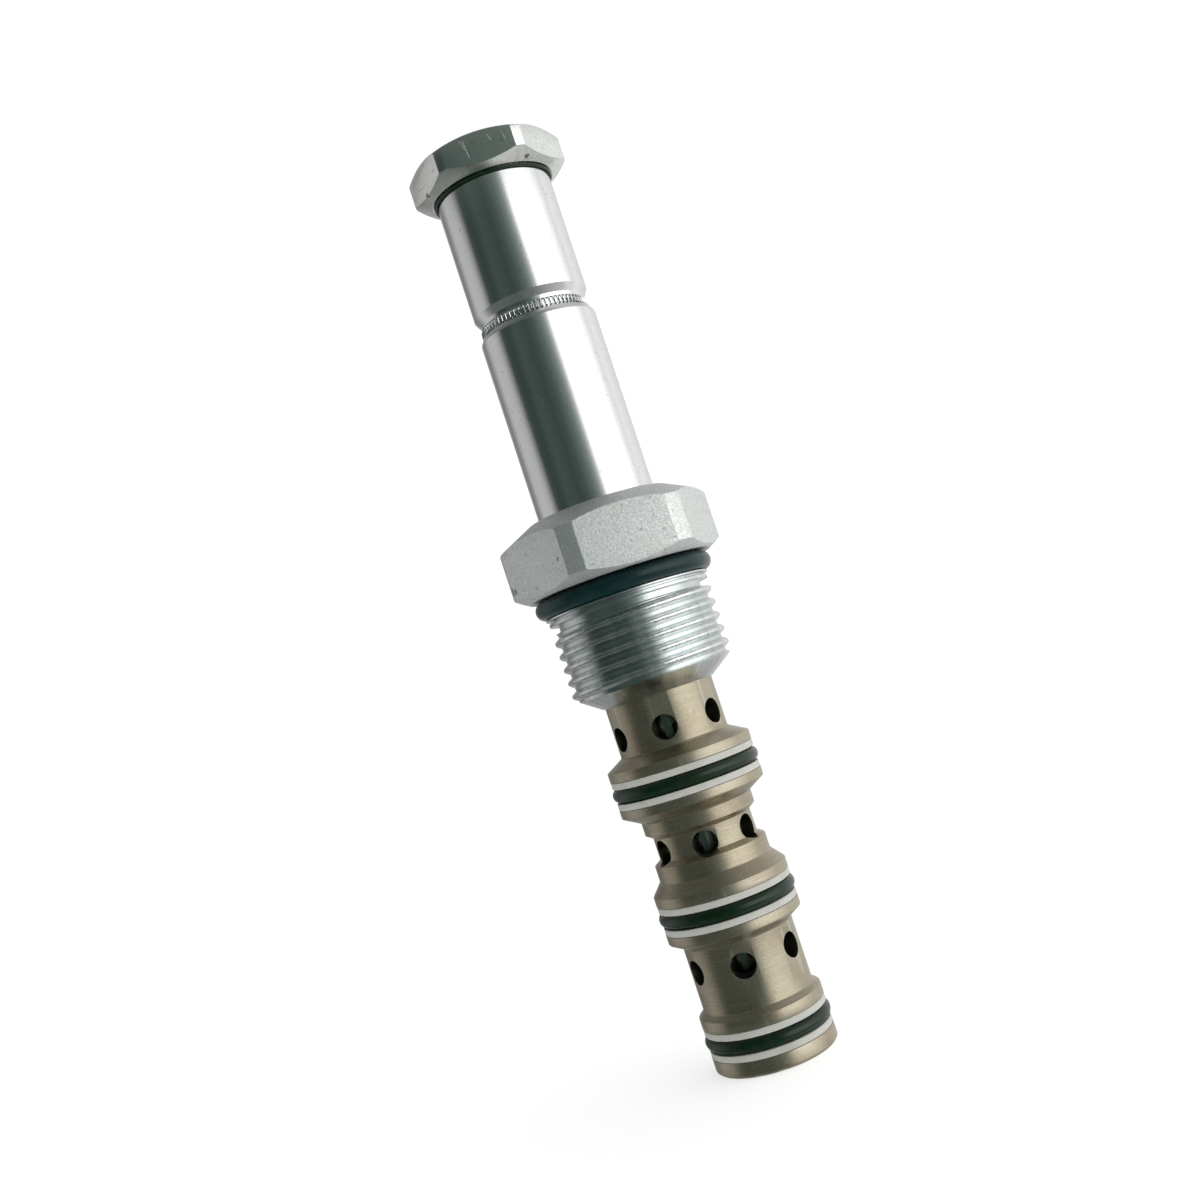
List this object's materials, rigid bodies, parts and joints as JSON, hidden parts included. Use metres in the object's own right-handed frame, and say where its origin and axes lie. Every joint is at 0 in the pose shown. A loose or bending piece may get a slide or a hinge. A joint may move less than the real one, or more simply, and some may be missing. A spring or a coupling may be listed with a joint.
{
  "type": "solenoid cartridge valve",
  "caption": "Screw-in spool cartridge valve, coil off: threaded hex adapter, stepped ported cage with seals, guide tube, pole piece and coil nut.",
  "frame": {"origin": "centre of the nose end face, on the valve axis", "axes": "+Z along the valve axis from the nose to the stud; -Y is the side on view, +X to its right"},
  "size_m": [0.0284, 0.0278, 0.1259],
  "materials": {
    "hex_adapter": "zinc plated, matt granular",
    "cage": "turned steel",
    "guide_tube": "bright plated",
    "pole_piece": "bright plated",
    "coil_nut": "zinc plated",
    "spool": "ground and hardened",
    "spool_link": "turned",
    "armature": "turned soft iron",
    "return_spring": "drawn wire",
    "nose_clip": "spring steel",
    "gap_shim": "rolled sheet",
    "seal_upper": "moulded",
    "backup_upper_below": "cut plastic",
    "backup_upper_above": "cut plastic",
    "seal_middle": "moulded",
    "backup_middle_below": "cut plastic",
    "backup_middle_above": "cut plastic",
    "seal_lower": "moulded",
    "backup_lower_below": "cut plastic",
    "backup_lower_above": "cut plastic",
    "seal_adapter": "moulded",
    "seal_tube": "moulded",
    "seal_nut": "moulded"
  },
  "bodies": {
    "valve_body": {"hex_adapter": "hex_adapter", "cage": "cage", "guide_tube": "guide_tube", "pole_piece": "pole_piece", "return_spring": "return_spring", "nose_clip": "nose_clip", "gap_shim": "gap_shim", "seal_upper": "seal_upper", "backup_upper_below": "backup_upper_below", "backup_upper_above": "backup_upper_above", "seal_middle": "seal_middle", "backup_middle_below": "backup_middle_below", "backup_middle_above": "backup_middle_above", "seal_lower": "seal_lower", "backup_lower_below": "backup_lower_below", "backup_lower_above": "backup_lower_above", "seal_adapter": "seal_adapter", "seal_tube": "seal_tube"},
    "plunger": {"spool": "spool", "spool_link": "spool_link", "armature": "armature"},
    "nut_seal": {"seal_nut": "seal_nut"},
    "nut": {"coil_nut": "coil_nut"}
  },
  "joints": [
    {"name": "spool_slide", "type": "slide", "parent": "valve_body", "child": "plunger", "axis": [0, 0, 1], "range_m": [0, 0.0024], "stiffness_N_per_m": 1500, "springref_m": -0.002, "deforming": ["return_spring"]},
    {"name": "coil_nut_lift", "type": "slide", "parent": "valve_body", "child": "nut_seal", "axis": [0, 0, 1], "range_m": [0, 0.00381]},
    {"name": "coil_nut_turn", "type": "hinge", "parent": "nut_seal", "child": "nut", "pos_m": [0, 0, 0.12272], "axis": [0, 0, 1], "range_deg": [0, 1080]}
  ],
  "couplings": [
    {"joint": "coil_nut_lift", "follows": "coil_nut_turn", "m_per_rad": 0.00020213}
  ]
}
